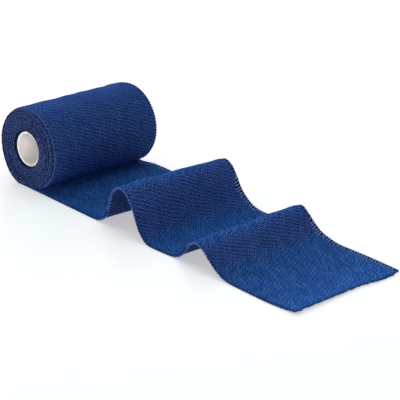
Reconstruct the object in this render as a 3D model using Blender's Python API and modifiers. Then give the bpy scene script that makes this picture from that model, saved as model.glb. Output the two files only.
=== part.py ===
"""Cohesive bandage roll with its loose end lying in two waves.

Metres, +Z up. The roll's axis runs along Y, and the loose end leaves the foot of the
roll towards +X. The whole part stands on z = 0, centred on the origin in X and Y.

Three solids: the wound cloth, the loose end of the same cloth, and the core tube.
"""

import math

import bpy
import numpy as np
from mathutils import Matrix

MM = 0.001

# The cloth
CLOTH_WIDTH = 100.0 * MM
CLOTH_THICKNESS = 1.2 * MM
CLEARANCE = 0.3 * MM

# The wound roll, turned about its axis
ROLL_RADIUS = 30.2 * MM
ROLL_SAG = 0.8 * MM
NEAR_SHOULDER = 1.5 * MM
FAR_SHOULDER = 3.5 * MM
BORE_RADIUS = 13.5 * MM
BORE_SHOULDER = 0.8 * MM
ROLL_STEPS = 72
SHOULDER_STEPS = 4

# The core tube, a little shorter than the cloth is wide, and resting low in the bore
CORE_RADIUS = 12.8 * MM
CORE_WALL = 1.5 * MM
CORE_INSET = 1.0 * MM
CORE_DROP = 0.3 * MM
CORE_RIM = 0.4 * MM
CORE_STEPS = 48
CORE_RIM_STEPS = 2

# The folds of the loose end. Each row is a straight line across the cloth, from the near
# selvage at -Y to the far selvage at +Y. It gives in millimetres, for each selvage, where
# the underside of the cloth is: x from the roll's axis, how far the selvage bows out past
# the straight edge of the cloth, and its height above the table.
#    name, near x, near out, near height, far x, far out, far height
FOLDS = (
    ("under the roll", 0.15, 0.0, 0.0, 0.15, 0.0, 0.0),
    ("clear of the roll", 13.0, 0.0, 0.0, 13.0, 0.0, 0.0),
    ("flat run, lifted behind", 27.0, 0.0, 0.0, 27.0, 0.3, 1.4),
    ("flat run", 50.0, 0.0, 0.0, 50.0, 0.3, 1.2),
    ("first wave starts", 72.0, 0.0, 0.0, 78.0, 0.0, 0.0),
    ("first wave, foot", 80.6, 0.0, 1.7, 87.2, 0.0, 1.8),
    ("first wave, turning up", 86.2, 0.0, 6.0, 92.0, 0.0, 6.0),
    ("first wave, rising", 89.5, 0.0, 14.5, 94.6, -0.2, 13.2),
    ("first wave, steep", 91.6, 0.0, 22.6, 96.0, -0.3, 19.8),
    ("first wave, shoulder", 95.0, 0.0, 28.5, 98.2, -0.3, 24.6),
    ("first wave, crest", 99.9, 0.0, 31.2, 102.2, -0.3, 26.9),
    ("first wave, far shoulder", 106.2, 0.0, 28.9, 108.2, -0.3, 24.4),
    ("first wave, falling", 111.4, 0.0, 22.8, 112.8, -0.2, 19.2),
    ("first wave, low", 117.0, 0.2, 12.4, 118.4, 0.0, 11.0),
    ("first wave, foot behind", 121.8, 0.6, 5.6, 124.0, 0.2, 5.8),
    ("first wave ends", 127.6, 1.0, 1.3, 131.0, 0.2, 1.8),
    ("second trough", 136.0, 1.4, 0.0, 142.0, 0.2, 0.0),
    ("second wave starts", 149.0, 0.8, 0.0, 154.0, 0.0, 0.0),
    ("second wave, foot", 158.6, 0.2, 2.2, 163.4, 0.0, 2.2),
    ("second wave, rising", 165.0, 0.0, 8.6, 168.8, 0.0, 8.2),
    ("second wave, shoulder", 168.9, 0.0, 14.2, 171.8, 0.0, 13.2),
    ("second wave, crest", 174.2, 0.0, 17.0, 176.2, 0.0, 15.7),
    ("second wave, falling", 180.4, 0.0, 14.7, 181.6, 0.0, 13.1),
    ("second wave, low", 187.0, 0.0, 9.4, 188.2, 0.0, 8.2),
    ("second wave, foot behind", 193.6, 0.0, 4.4, 195.4, 0.0, 3.8),
    ("second wave ends", 200.4, 0.2, 1.4, 203.6, 0.0, 1.4),
    ("cut end lies flat", 212.0, 0.3, 0.0, 213.6, 0.0, 0.0),
    ("cut end", 242.0, 0.2, 0.0, 242.0, 0.3, 0.0),
    ("cut edge", 262.6, -1.8, 1.3, 263.4, -0.5, 0.0),
)
FOLD_STEPS = 5
ACROSS_STEPS = 6

# Halfway across, the waves stand this share higher than the straight line between selvages
CROWN = 0.05

# Finishes: base colour, roughness
CLOTH_FINISH = ((0.010, 0.034, 0.165), 0.95)
CORE_FINISH = ((0.86, 0.86, 0.84), 0.35)


def clear_scene():
    """Remove every object the scene starts with."""
    for item in list(bpy.data.objects):
        bpy.data.objects.remove(item, do_unlink=True)


def new_collection(name):
    """Make a collection in the scene."""
    collection = bpy.data.collections.new(name)
    bpy.context.scene.collection.children.link(collection)
    return collection


def new_material(name, finish):
    """Make a non-metallic Principled material from a colour and a roughness."""
    colour, roughness = finish
    material = bpy.data.materials.new(name)
    material.use_nodes = True
    shader = material.node_tree.nodes["Principled BSDF"]
    shader.inputs["Base Color"].default_value = (*colour, 1.0)
    shader.inputs["Roughness"].default_value = roughness
    shader.inputs["Metallic"].default_value = 0.0
    return material


def arc(centre, radius, start_deg, end_deg, steps):
    """Points on an arc in a turned profile, as (distance from the axis, place along it)."""
    angles = np.radians(np.linspace(start_deg, end_deg, steps + 1))
    return [
        (centre[0] + radius * math.cos(angle), centre[1] + radius * math.sin(angle))
        for angle in angles
    ]


def ring_profile(outer, inner, half_length, near_round, far_round, inner_round, steps):
    """Closed section of a tube with rounded ends: down its outer side, up its inner one."""
    top = half_length
    return (
        arc((outer - near_round, top - near_round), near_round, 90, 0, steps)
        + arc((outer - far_round, far_round - top), far_round, 0, -90, steps)
        + arc((inner + inner_round, inner_round - top), inner_round, 270, 180, steps)
        + arc((inner + inner_round, top - inner_round), inner_round, 180, 90, steps)
    )


def turned(name, profile, steps, collection, material):
    """Turn a closed profile about an axis that lies along Y."""
    points = [(distance, 0.0, along) for distance, along in profile]
    count = len(points)
    edges = [(index, (index + 1) % count) for index in range(count)]
    mesh = bpy.data.meshes.new(name)
    mesh.from_pydata(points, edges, [])
    mesh.materials.append(material)
    piece = bpy.data.objects.new(name, mesh)
    collection.objects.link(piece)
    piece.rotation_euler = (math.radians(90.0), 0.0, 0.0)
    screw = piece.modifiers.new("turn", "SCREW")
    screw.axis = "Z"
    screw.angle = math.radians(360.0)
    screw.steps = steps
    screw.render_steps = steps
    screw.use_merge_vertices = True
    screw.merge_threshold = 0.00001
    screw.use_smooth_shade = True
    return piece


def box_cutter(name, low, high, collection):
    """Make a box between two corners, to cut with and not to show."""
    bpy.ops.mesh.primitive_cube_add(size=1.0)
    cutter = bpy.context.object
    cutter.name = name
    size = [upper - lower for lower, upper in zip(low, high)]
    middle = [(upper + lower) / 2.0 for lower, upper in zip(low, high)]
    cutter.data.transform(Matrix.Diagonal((*size, 1.0)))
    cutter.location = middle
    for home in list(cutter.users_collection):
        home.objects.unlink(cutter)
    collection.objects.link(cutter)
    cutter.hide_render = True
    cutter.display_type = "WIRE"
    return cutter


def cut(piece, cutter):
    """Take a cutter's shape out of a piece."""
    boolean = piece.modifiers.new(cutter.name, "BOOLEAN")
    boolean.operation = "DIFFERENCE"
    boolean.solver = "EXACT"
    boolean.object = cutter


def build_wound_cloth(parts, cutters, material):
    """The wound cloth: a turned ring, pressed flat at its foot and let in for the loose end."""
    profile = ring_profile(
        ROLL_RADIUS,
        BORE_RADIUS,
        CLOTH_WIDTH / 2.0,
        NEAR_SHOULDER,
        FAR_SHOULDER,
        BORE_SHOULDER,
        SHOULDER_STEPS,
    )
    roll = turned("wound_cloth", profile, ROLL_STEPS, parts, material)
    axis_height = ROLL_RADIUS - ROLL_SAG
    roll.location = (0.0, 0.0, axis_height)
    reach = ROLL_RADIUS * 2.0
    floor_cutter = box_cutter(
        "flat_spot_cutter", (-reach, -reach, -reach), (reach, reach, 0.0), cutters
    )
    step_height = CLOTH_THICKNESS + CLEARANCE
    step_cutter = box_cutter(
        "loose_end_cutter",
        (-CLEARANCE / 2.0, -reach, -reach / 2.0),
        (reach, reach, step_height),
        cutters,
    )
    cut(roll, floor_cutter)
    cut(roll, step_cutter)
    return roll


def build_core_tube(parts, material):
    """The core: a plain tube with rounded rims, lying low in the bore of the cloth."""
    profile = ring_profile(
        CORE_RADIUS,
        CORE_RADIUS - CORE_WALL,
        CLOTH_WIDTH / 2.0 - CORE_INSET,
        CORE_RIM,
        CORE_RIM,
        CORE_RIM,
        CORE_RIM_STEPS,
    )
    core = turned("core_tube", profile, CORE_STEPS, parts, material)
    core.location = (0.0, 0.0, ROLL_RADIUS - ROLL_SAG - CORE_DROP)
    return core


def smooth_through(places, values, resting, steps):
    """Cubic curve through values at the given places, level where the cloth rests.

    Each value's slope is that of the parabola through it and its two neighbours, and zero
    where it is marked as resting, so that a flat run between two resting rows stays flat.
    """
    gaps = np.diff(places)
    rises = np.diff(values) / gaps
    slopes = np.empty_like(values)
    slopes[1:-1] = (rises[:-1] * gaps[1:] + rises[1:] * gaps[:-1]) / (gaps[:-1] + gaps[1:])
    slopes[0] = rises[0]
    slopes[-1] = rises[-1]
    slopes[resting] = 0.0
    share = np.linspace(0.0, 1.0, steps, endpoint=False)
    square = share**2
    cube = share**3
    spans = [
        (2 * cube - 3 * square + 1) * values[index]
        + (cube - 2 * square + share) * gaps[index] * slopes[index]
        + (3 * square - 2 * cube) * values[index + 1]
        + (cube - square) * gaps[index] * slopes[index + 1]
        for index in range(len(gaps))
    ]
    return np.append(np.concatenate(spans), values[-1])


def fold_lines():
    """Ends of the straight lines across the cloth, as (near or far) x (x, y, z), in metres."""
    rows = np.array([row[1:] for row in FOLDS]).reshape(-1, 2, 3) * MM
    outwards = np.array([-1.0, 1.0])
    ends = rows.copy()
    ends[:, :, 1] = outwards * (CLOTH_WIDTH / 2.0 + rows[:, :, 1])
    run = np.linalg.norm(np.diff(ends, axis=0), axis=2).mean(axis=1)
    places = np.concatenate(([0.0], np.cumsum(run)))
    never = np.zeros(len(rows), dtype=bool)
    curves = [
        smooth_through(places, ends[:, side, axis], resting, FOLD_STEPS)
        for side in range(2)
        for axis, resting in enumerate((never, never, ends[:, side, 2] == 0.0))
    ]
    return np.stack(curves, axis=1).reshape(-1, 2, 3)


def build_loose_end(parts, material):
    """The loose end: a sheet through the fold lines, a little crowned, thickened upwards."""
    lines = fold_lines()
    across = np.linspace(0.0, 1.0, ACROSS_STEPS + 1)[:, None]
    near = lines[:, 0, None, :]
    far = lines[:, 1, None, :]
    grid = near + (far - near) * across
    grid[:, :, 2] *= 1.0 + CROWN * 4.0 * (across * (1.0 - across))[:, 0]
    points = grid.reshape(-1, 3)
    row = ACROSS_STEPS + 1
    faces = [
        (base, base + row, base + row + 1, base + 1)
        for start in range(0, (len(lines) - 1) * row, row)
        for base in range(start, start + ACROSS_STEPS)
    ]
    mesh = bpy.data.meshes.new("loose_end")
    mesh.from_pydata(points.tolist(), [], faces)
    mesh.materials.append(material)
    mesh.shade_smooth()
    sheet = bpy.data.objects.new("loose_end", mesh)
    parts.objects.link(sheet)
    solidify = sheet.modifiers.new("thickness", "SOLIDIFY")
    solidify.thickness = CLOTH_THICKNESS
    solidify.offset = 1.0
    solidify.use_even_offset = True
    return sheet


def bounds(pieces):
    """Low and high corner of the finished pieces, in world space."""
    bpy.context.view_layer.update()
    graph = bpy.context.evaluated_depsgraph_get()
    corners = []
    for piece in pieces:
        solid = piece.evaluated_get(graph)
        mesh = solid.to_mesh()
        points = np.empty((len(mesh.vertices), 3))
        mesh.vertices.foreach_get("co", points.ravel())
        matrix = np.array(solid.matrix_world)
        world = points @ matrix[:3, :3].T + matrix[:3, 3]
        corners += [world.min(axis=0), world.max(axis=0)]
        solid.to_mesh_clear()
    return np.min(corners, axis=0), np.max(corners, axis=0)


def centre_on_origin(pieces, cutters, collection):
    """Hang everything on an empty that brings the middle of the whole to x = y = 0."""
    low, high = bounds(pieces)
    middle = (low + high) / 2.0
    roll_foot = bpy.data.objects.new("roll_foot", None)
    collection.objects.link(roll_foot)
    roll_foot.location = (-middle[0], -middle[1], 0.0)
    for piece in (*pieces, *cutters.objects):
        piece.parent = roll_foot


def main():
    """Build the three solids of the bandage roll."""
    clear_scene()
    parts = new_collection("cohesive_bandage_roll")
    cutters = new_collection("cutters")
    cloth = new_material("blue_cohesive_cloth", CLOTH_FINISH)
    plastic = new_material("white_plastic", CORE_FINISH)
    roll = build_wound_cloth(parts, cutters, cloth)
    core = build_core_tube(parts, plastic)
    sheet = build_loose_end(parts, cloth)
    centre_on_origin([roll, core, sheet], cutters, parts)


main()
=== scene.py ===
"""Looks of a cohesive bandage roll whose loose end lies in two waves.

All lengths are in metres in the row's frame: +Z up, the roll's axis along Y, the loose end
running towards +X, and the near selvage at -Y. The roll's own coordinates have their origin
on the table under the middle of the roll's axis.
"""

import logging
import math
from dataclasses import dataclass
from enum import Enum

import bpy
import numpy as np
from mathutils import Matrix, Vector


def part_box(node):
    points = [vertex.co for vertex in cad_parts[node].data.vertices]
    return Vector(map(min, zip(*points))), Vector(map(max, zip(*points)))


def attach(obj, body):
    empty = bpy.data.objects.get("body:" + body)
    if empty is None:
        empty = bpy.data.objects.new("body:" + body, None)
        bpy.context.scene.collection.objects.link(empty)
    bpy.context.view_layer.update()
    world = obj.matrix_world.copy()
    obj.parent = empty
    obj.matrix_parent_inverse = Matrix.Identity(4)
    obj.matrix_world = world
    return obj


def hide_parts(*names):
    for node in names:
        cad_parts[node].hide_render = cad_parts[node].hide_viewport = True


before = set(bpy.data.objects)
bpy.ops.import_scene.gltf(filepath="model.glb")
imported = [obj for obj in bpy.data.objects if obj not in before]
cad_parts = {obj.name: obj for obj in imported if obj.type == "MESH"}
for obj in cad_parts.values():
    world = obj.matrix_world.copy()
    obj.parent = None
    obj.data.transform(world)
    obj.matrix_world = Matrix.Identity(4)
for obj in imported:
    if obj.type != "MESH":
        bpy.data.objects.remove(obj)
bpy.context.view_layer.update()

LOG = logging.getLogger("bandage_roll")
MM = 0.001
FULL_TURN = 2.0 * math.pi
CLOTH_MAP = "cloth"
LEAN = "lean"
TENSION = "tension"
LIT = "lit"
TURN = "turn"


class Side(Enum):
    """The two selvages of the cloth, each with its direction along Y."""

    NEAR = -1.0
    FAR = 1.0


class Skin(Enum):
    """What a face of the wound cloth shows, as the number of its material slot."""

    WEAVE = 0
    EDGES = 1


def linear(code: str) -> tuple[float, float, float, float]:
    """Turn an sRGB hex colour into linear light: ((c + 0.055) / 1.055) to the power 2.4.

    Args:
        code: the colour as "#RRGGBB".

    Returns:
        Linear red, green and blue, and an alpha of one.
    """
    shares = [int(code[place : place + 2], 16) / 255.0 for place in (1, 3, 5)]
    light = [
        share / 12.92 if share <= 0.04045 else ((share + 0.055) / 1.055) ** 2.4
        for share in shares
    ]
    return (light[0], light[1], light[2], 1.0)


def set_inputs(node: bpy.types.Node, inputs: dict) -> None:
    """Set the inputs of a node.

    Args:
        node: the node.
        inputs: socket name or number to a value, to the output socket that feeds it, or to
            the node whose first output feeds it.
    """
    for socket, value in inputs.items():
        if isinstance(value, bpy.types.Node):
            value = value.outputs[0]
        if isinstance(value, bpy.types.NodeSocket):
            node.id_data.links.new(value, node.inputs[socket])
        else:
            node.inputs[socket].default_value = value


def add_node(
    tree: bpy.types.NodeTree, kind: str, inputs: dict, stops: tuple = (), **settings
) -> bpy.types.Node:
    """Add a shader node with its settings, values and links.

    Args:
        tree: the material's node tree.
        kind: the node's type name after "ShaderNode".
        inputs: what feeds its inputs, as for set_inputs.
        stops: positions and sRGB colours of a colour ramp, in rising order.
        **settings: the node's own properties.

    Returns:
        The new node.
    """
    node = tree.nodes.new("ShaderNode" + kind)
    for name, value in settings.items():
        setattr(node, name, value)
    set_inputs(node, inputs)
    if stops:
        elements = node.color_ramp.elements
        for place in (0, -1):
            elements[place].position = stops[place][0]
            elements[place].color = linear(stops[place][1])
        for position, code in stops[1:-1]:
            elements.new(position).color = linear(code)
    return node


def new_material(name: str) -> tuple[bpy.types.Material, bpy.types.Node]:
    """Make a material with a Principled shader.

    Args:
        name: the material's name.

    Returns:
        The material and its shader node.
    """
    material = bpy.data.materials.new(name)
    material.use_nodes = True
    return material, material.node_tree.nodes["Principled BSDF"]


def ripple(places: np.ndarray, wavelength: float, seed: int, waves: int = 9) -> np.ndarray:
    """Smooth unevenness: the sum of sine waves of random direction, length and phase.

    Args:
        places: points, the last axis being the coordinates.
        wavelength: about how far apart its hills are.
        seed: number that fixes the random choices.
        waves: how many sine waves are added.

    Returns:
        A value for each point, with a spread of about one.
    """
    source = np.random.default_rng(seed)
    directions = source.normal(size=(waves, places.shape[-1]))
    directions /= np.linalg.norm(directions, axis=1, keepdims=True)
    lengths = wavelength * source.uniform(0.7, 1.6, size=(waves, 1))
    phases = source.uniform(0.0, FULL_TURN, size=waves)
    angles = FULL_TURN * (places @ (directions / lengths).T) + phases
    return np.sin(angles).sum(axis=-1) * math.sqrt(2.0 / waves)


def distances(stations: np.ndarray) -> np.ndarray:
    """Distance of each station from the first one, as the mean over the points of a station.

    Args:
        stations: stations x 3 points, or stations x points across x 3.

    Returns:
        The distances.
    """
    steps = np.linalg.norm(np.diff(stations, axis=0), axis=-1)
    return np.concatenate([[0.0], np.cumsum(steps.reshape(len(steps), -1).mean(axis=1))])


def smooth_step(value: np.ndarray, low: float, high: float) -> np.ndarray:
    """Rise from 0 at low to 1 at high along 3s^2 - 2s^3, s being the share of the way."""
    share = np.clip((value - low) / (high - low), 0.0, 1.0)
    return share * share * (3.0 - 2.0 * share)


def grid_quads(rows: int, columns: int, wrap_rows: bool, wrap_columns: bool) -> np.ndarray:
    """Corner numbers of a grid's faces, point (i, j) having the number i * columns + j.

    Args:
        rows: number of rows of points.
        columns: number of points in a row.
        wrap_rows: whether the last row joins the first.
        wrap_columns: whether the last column joins the first.

    Returns:
        An array of faces x 4.
    """
    row, column = np.meshgrid(
        np.arange(rows - (not wrap_rows)), np.arange(columns - (not wrap_columns)), indexing="ij"
    )
    next_row = (row + 1) % rows
    next_column = (column + 1) % columns
    quads = [
        row * columns + column,
        next_row * columns + column,
        next_row * columns + next_column,
        row * columns + next_column,
    ]
    return np.stack(quads, axis=-1).reshape(-1, 4)


def facing_out(points: np.ndarray, quads: np.ndarray) -> np.ndarray:
    """Turn a closed mesh's faces outwards, by the sign of its volume, the sum of a . (b x c) / 6.

    Args:
        points: n x 3 points.
        quads: faces x 4 corner numbers.

    Returns:
        The faces, all reversed where the volume was negative.
    """
    a, b, c, d = (points[quads[:, corner]] for corner in range(4))
    volume = (a * np.cross(b, c)).sum() + (a * np.cross(c, d)).sum()
    return quads if volume > 0.0 else quads[:, ::-1]


def make_piece(
    name: str,
    points: np.ndarray,
    quads: np.ndarray,
    materials: list[bpy.types.Material],
    skins: np.ndarray | None = None,
    cloth_map: np.ndarray | None = None,
    values: dict[str, np.ndarray] | None = None,
) -> bpy.types.Object:
    """Make a smooth mesh object from whole arrays, at the origin and riding on the root body.

    Args:
        name: the piece's name.
        points: n x 3 points in the row's frame.
        quads: faces x 4 corner numbers of a closed surface.
        materials: what the piece is made of, one for each slot.
        skins: slot number of each face, or None for the first slot.
        cloth_map: n x 2 places on the flat cloth in metres, or None.
        values: named values for each point, or None.

    Returns:
        The new object.
    """
    mesh = bpy.data.meshes.new(name)
    mesh.from_pydata(points.tolist(), [], facing_out(points, quads).tolist())
    for material in materials:
        mesh.materials.append(material)
    if skins is not None:
        mesh.polygons.foreach_set("material_index", skins.astype(np.int32))
    if cloth_map is not None:
        corners = np.empty(len(mesh.loops), dtype=np.int32)
        mesh.loops.foreach_get("vertex_index", corners)
        layer = mesh.uv_layers.new(name=CLOTH_MAP)
        layer.uv.foreach_set("vector", cloth_map[corners].astype(np.float32).ravel())
    for label, numbers in (values or {}).items():
        attribute = mesh.attributes.new(label, "FLOAT", "POINT")
        attribute.data.foreach_set("value", numbers.astype(np.float32).ravel())
    mesh.shade_smooth()
    mesh.update()
    piece = bpy.data.objects.new(name, mesh)
    bpy.context.scene.collection.objects.link(piece)
    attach(piece, "root")
    LOG.info("%s: %d points, %d faces", name, len(points), len(quads))
    return piece


def thread_tubes(
    paths: np.ndarray, radius: float, sides: int = 6
) -> tuple[np.ndarray, np.ndarray]:
    """Round threads along many short paths at once.

    A ring's points are p + radius (cos a N + sin a B), N being the direction that is square to
    the path and nearest to the line between the path's ends turned about it, and B = T x N.
    The end rings have half the radius, and two faces close each of them.

    Args:
        paths: threads x points along each x 3.
        radius: half the thread's thickness.
        sides: points in a ring, an even number.

    Returns:
        The points and the faces of all threads together.
    """
    count, length, _ = paths.shape
    along = np.gradient(paths, axis=1)
    along /= np.linalg.norm(along, axis=2, keepdims=True)
    middle = paths[:, length // 2] - (paths[:, 0] + paths[:, -1]) / 2.0
    aside = np.cross(paths[:, -1] - paths[:, 0], middle) + np.array([1e-9, 2e-9, 3e-9])
    first = np.cross(np.broadcast_to(aside[:, None], paths.shape), along)
    first /= np.linalg.norm(first, axis=2, keepdims=True) + 1e-12
    second = np.cross(along, first)
    angles = np.arange(sides) * FULL_TURN / sides
    size = np.full(length, radius)
    size[[0, -1]] *= 0.5
    ring = (
        first[:, :, None] * np.cos(angles)[:, None] + second[:, :, None] * np.sin(angles)[:, None]
    )
    points = paths[:, :, None] + ring * size[:, None, None]
    side_faces = grid_quads(length, sides, False, True)
    fan = np.arange(1, sides - 2, 2)
    start = np.stack([np.zeros_like(fan), fan, fan + 1, fan + 2], axis=1)
    end = start[:, ::-1] + (length - 1) * sides
    single = np.concatenate([side_faces, start, end])
    quads = single[None] + (np.arange(count) * length * sides)[:, None, None]
    return points.reshape(-1, 3), quads.reshape(-1, 4)


@dataclass(frozen=True)
class CohesiveCloth:
    """Elastic crepe cloth of dyed cotton and elastane, with a dry, tacky latex finish.

    The eye sees a matt royal blue of short slanted floats, in lengthwise rows that are shifted
    by half a float from one row to the next: paler, slightly mauve ridges over navy gaps.
    """

    ridge: str = "#2A5EA8"
    gap: str = "#11306C"
    fleck: str = "#5E80D2"
    sheen: str = "#4F8AE8"
    float_pitch: float = 3.0 * MM
    row_width: float = 3.3 * MM
    row_lean: float = 1.26
    crossing: float = 0.20
    shortening: float = 0.50
    closed: float = 0.25
    opening: float = 1.25
    unevenness: float = 0.25
    tones: tuple[float, float, float] = (0.02, 0.62, 1.0)
    hue_shift: float = 0.006
    relief: float = 0.52 * MM
    yarn: float = 1.1 * MM
    grain: float = 1.8
    sway: float = 9.0 * MM
    sway_share: float = 0.3
    patch: float = 22.0 * MM
    wear: float = 0.14
    roughness: float = 0.84

    def material(self) -> bpy.types.Material:
        """Make the woven face: floats from the cloth's own map, with their bump and colour.

        With u the place along the cloth, n the row's number and q the place across the row, a
        float's ridge is cos(2 pi (u / pitch + n / 2 +- 1.26 (q - 1/2))): the sign is its lean, and
        1.26 the pitches that it leans over in its row. A fifth of the crossing floats' ridge is
        mixed in, and cos(4 pi u / pitch) shortens the gaps. Times sin(pi q), that is the height.
        Where the cloth is stretched or bent its gaps open, so its tension deepens the pattern.
        The rows sway a little along the cloth, and by chance one float is stronger than another.

        Returns:
            The material.
        """
        material, shader = new_material("blue_cohesive_crepe")
        tree = material.node_tree
        place = add_node(tree, "UVMap", {}, uv_map=CLOTH_MAP)
        lean = add_node(tree, "Attribute", {}, attribute_name=LEAN).outputs["Fac"]
        tension = add_node(tree, "Attribute", {}, attribute_name=TENSION).outputs["Fac"]
        lit = add_node(tree, "Attribute", {}, attribute_name=LIT).outputs["Fac"]
        parts = add_node(tree, "SeparateXYZ", {"Vector": place})
        sway = add_node(
            tree, "TexNoise", {"Vector": place, "Scale": 1.0 / self.sway, "Detail": 1.0}
        )
        shift = add_node(
            tree,
            "MapRange",
            {"Value": sway, "To Min": -self.sway_share, "To Max": self.sway_share},
        )
        along = add_node(
            tree,
            "Math",
            {0: parts.outputs["X"], 1: 1.0 / self.float_pitch, 2: shift},
            operation="MULTIPLY_ADD",
        )
        across = add_node(
            tree, "Math", {0: parts.outputs["Y"], 1: self.row_width}, operation="DIVIDE"
        )
        row = add_node(tree, "Math", {0: across}, operation="FLOOR")
        share = add_node(tree, "Math", {0: across}, operation="FRACT")
        start = add_node(tree, "Math", {0: row, 1: 0.5, 2: along}, operation="MULTIPLY_ADD")
        slant = add_node(
            tree,
            "Math",
            {0: share, 1: self.row_lean, 2: -self.row_lean / 2.0},
            operation="MULTIPLY_ADD",
        )
        forward = add_node(tree, "Math", {0: start, 1: slant}, operation="ADD")
        backward = add_node(tree, "Math", {0: start, 1: slant}, operation="SUBTRACT")
        crests = []
        for phase, turns in ((forward, 1.0), (backward, 1.0), (along, 2.0)):
            angle = add_node(tree, "Math", {0: phase, 1: turns * FULL_TURN}, operation="MULTIPLY")
            crests.append(add_node(tree, "Math", {0: angle}, operation="COSINE"))
        side = add_node(
            tree,
            "MapRange",
            {"Value": lean, "To Min": self.crossing, "To Max": 1.0 - self.crossing},
        )
        ridges = add_node(tree, "Mix", {"Factor": side, "A": crests[0], "B": crests[1]})
        ridges = add_node(
            tree, "Math", {0: crests[2], 1: -self.shortening, 2: ridges}, operation="MULTIPLY_ADD"
        )
        half_turn = add_node(tree, "Math", {0: share, 1: math.pi}, operation="MULTIPLY")
        arch = add_node(tree, "Math", {0: half_turn}, operation="SINE")
        raised = add_node(tree, "Math", {0: ridges, 1: arch}, operation="MULTIPLY")
        depth = add_node(
            tree,
            "Math",
            {0: tension, 1: self.opening, 2: self.closed},
            operation="MULTIPLY_ADD",
        )
        height = add_node(tree, "Math", {0: raised, 1: depth, 2: 0.5}, operation="MULTIPLY_ADD")
        cell_row = add_node(tree, "Math", {0: forward}, operation="FLOOR")
        cell = add_node(tree, "CombineXYZ", {"X": cell_row, "Y": row})
        chance = add_node(tree, "TexWhiteNoise", {"Vector": cell}, noise_dimensions="2D")
        uneven = add_node(
            tree,
            "MapRange",
            {"Value": chance, "To Min": 1.0 - self.unevenness, "To Max": 1.0 + self.unevenness},
        )
        height = add_node(tree, "Math", {0: height, 1: uneven}, operation="MULTIPLY")
        # Single yarns are about 0.3 mm, so they are drawn four times as coarse to show.
        yarn = add_node(
            tree, "TexNoise", {"Vector": place, "Scale": 1.0 / self.yarn, "Detail": 2.0}
        )
        grain = add_node(
            tree,
            "MapRange",
            {"Value": yarn, "To Min": -self.grain / 2.0, "To Max": self.grain / 2.0},
        )
        tone = add_node(tree, "Math", {0: height, 1: grain}, operation="ADD")
        stops = tuple(zip(self.tones, (self.gap, self.ridge, self.fleck)))
        ramp = add_node(tree, "ValToRGB", {"Fac": tone}, stops=stops)
        patches = add_node(
            tree, "TexNoise", {"Vector": place, "Scale": 1.0 / self.patch, "Detail": 2.0}
        )
        worn = add_node(
            tree,
            "MapRange",
            {"Value": patches, "To Min": 1.0 - self.wear, "To Max": 1.0 + self.wear},
        )
        # lit brings painted light and shade into the colour: paler bands and glows, and the darker
        # underside of the loose end.
        light = add_node(tree, "Math", {0: lit, 1: worn}, operation="MULTIPLY")
        # Where the cloth is stretched its mauve elastane shows between the dyed yarns.
        hue = add_node(
            tree, "MapRange", {"Value": tension, "To Min": 0.5, "To Max": 0.5 + self.hue_shift}
        )
        colour = add_node(tree, "HueSaturation", {"Color": ramp, "Hue": hue, "Value": light})
        rough = add_node(
            tree, "MapRange", {"Value": tone, "To Min": 1.0, "To Max": self.roughness}
        )
        bump = add_node(tree, "Bump", {"Height": tone, "Strength": 1.0, "Distance": self.relief})
        set_inputs(shader, {"Base Color": colour, "Roughness": rough, "Normal": bump})
        shader.inputs["Specular IOR Level"].default_value = 0.06
        shader.inputs["Sheen Weight"].default_value = 0.06
        shader.inputs["Sheen Roughness"].default_value = 0.5
        shader.inputs["Sheen Tint"].default_value = linear(self.sheen)
        return material


@dataclass(frozen=True)
class WoundEdges:
    """Stacked selvages of the wound turns: cut and looped yarn ends of the same cloth.

    The eye sees speckled navy with paler, slightly mauve yarn ends and dark lines between turns.
    Painted shade darkens the ends towards the core, in the crevice where the cloth meets it.
    """

    yarn: str = "#1B2F65"
    gap: str = "#0A132E"
    end: str = "#6C86DA"
    tuft: float = 1.5 * MM
    swell: float = 0.22
    tones: tuple[float, float, float] = (0.48, 0.66, 0.85)
    roughness: float = 0.85

    def material(self) -> bpy.types.Material:
        """Make the speckled edges, darker where one turn meets the next.

        Returns:
            The material.
        """
        material, shader = new_material("blue_crepe_selvages")
        tree = material.node_tree
        place = add_node(tree, "TexCoord", {}).outputs["Object"]
        turn = add_node(tree, "Attribute", {}, attribute_name=TURN).outputs["Fac"]
        lit = add_node(tree, "Attribute", {}, attribute_name=LIT).outputs["Fac"]
        share = add_node(tree, "Math", {0: turn}, operation="FRACT")
        half_turn = add_node(tree, "Math", {0: share, 1: math.pi}, operation="MULTIPLY")
        swell = add_node(tree, "Math", {0: half_turn}, operation="SINE")
        # Yarn ends are 0.3 mm thick. They are drawn as tufts of 1.5 mm, to show at all.
        tufts = add_node(
            tree,
            "TexNoise",
            {"Vector": place, "Scale": 1.0 / self.tuft, "Detail": 3.0, "Roughness": 0.65},
        )
        tone = add_node(
            tree, "Math", {0: swell, 1: self.swell, 2: tufts}, operation="MULTIPLY_ADD"
        )
        # lit here is painted shade, which darkens the ends towards the core.
        tone = add_node(tree, "Math", {0: tone, 1: lit}, operation="MULTIPLY")
        stops = tuple(zip(self.tones, (self.gap, self.yarn, self.end)))
        ramp = add_node(tree, "ValToRGB", {"Fac": tone}, stops=stops)
        rough = add_node(
            tree, "MapRange", {"Value": tone, "To Min": 1.0, "To Max": self.roughness}
        )
        bump = add_node(tree, "Bump", {"Height": tone, "Strength": 0.8, "Distance": 0.5 * MM})
        set_inputs(shader, {"Base Color": ramp, "Roughness": rough, "Normal": bump})
        shader.inputs["Specular IOR Level"].default_value = 0.15
        shader.inputs["Sheen Weight"].default_value = 0.10
        return material


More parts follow.
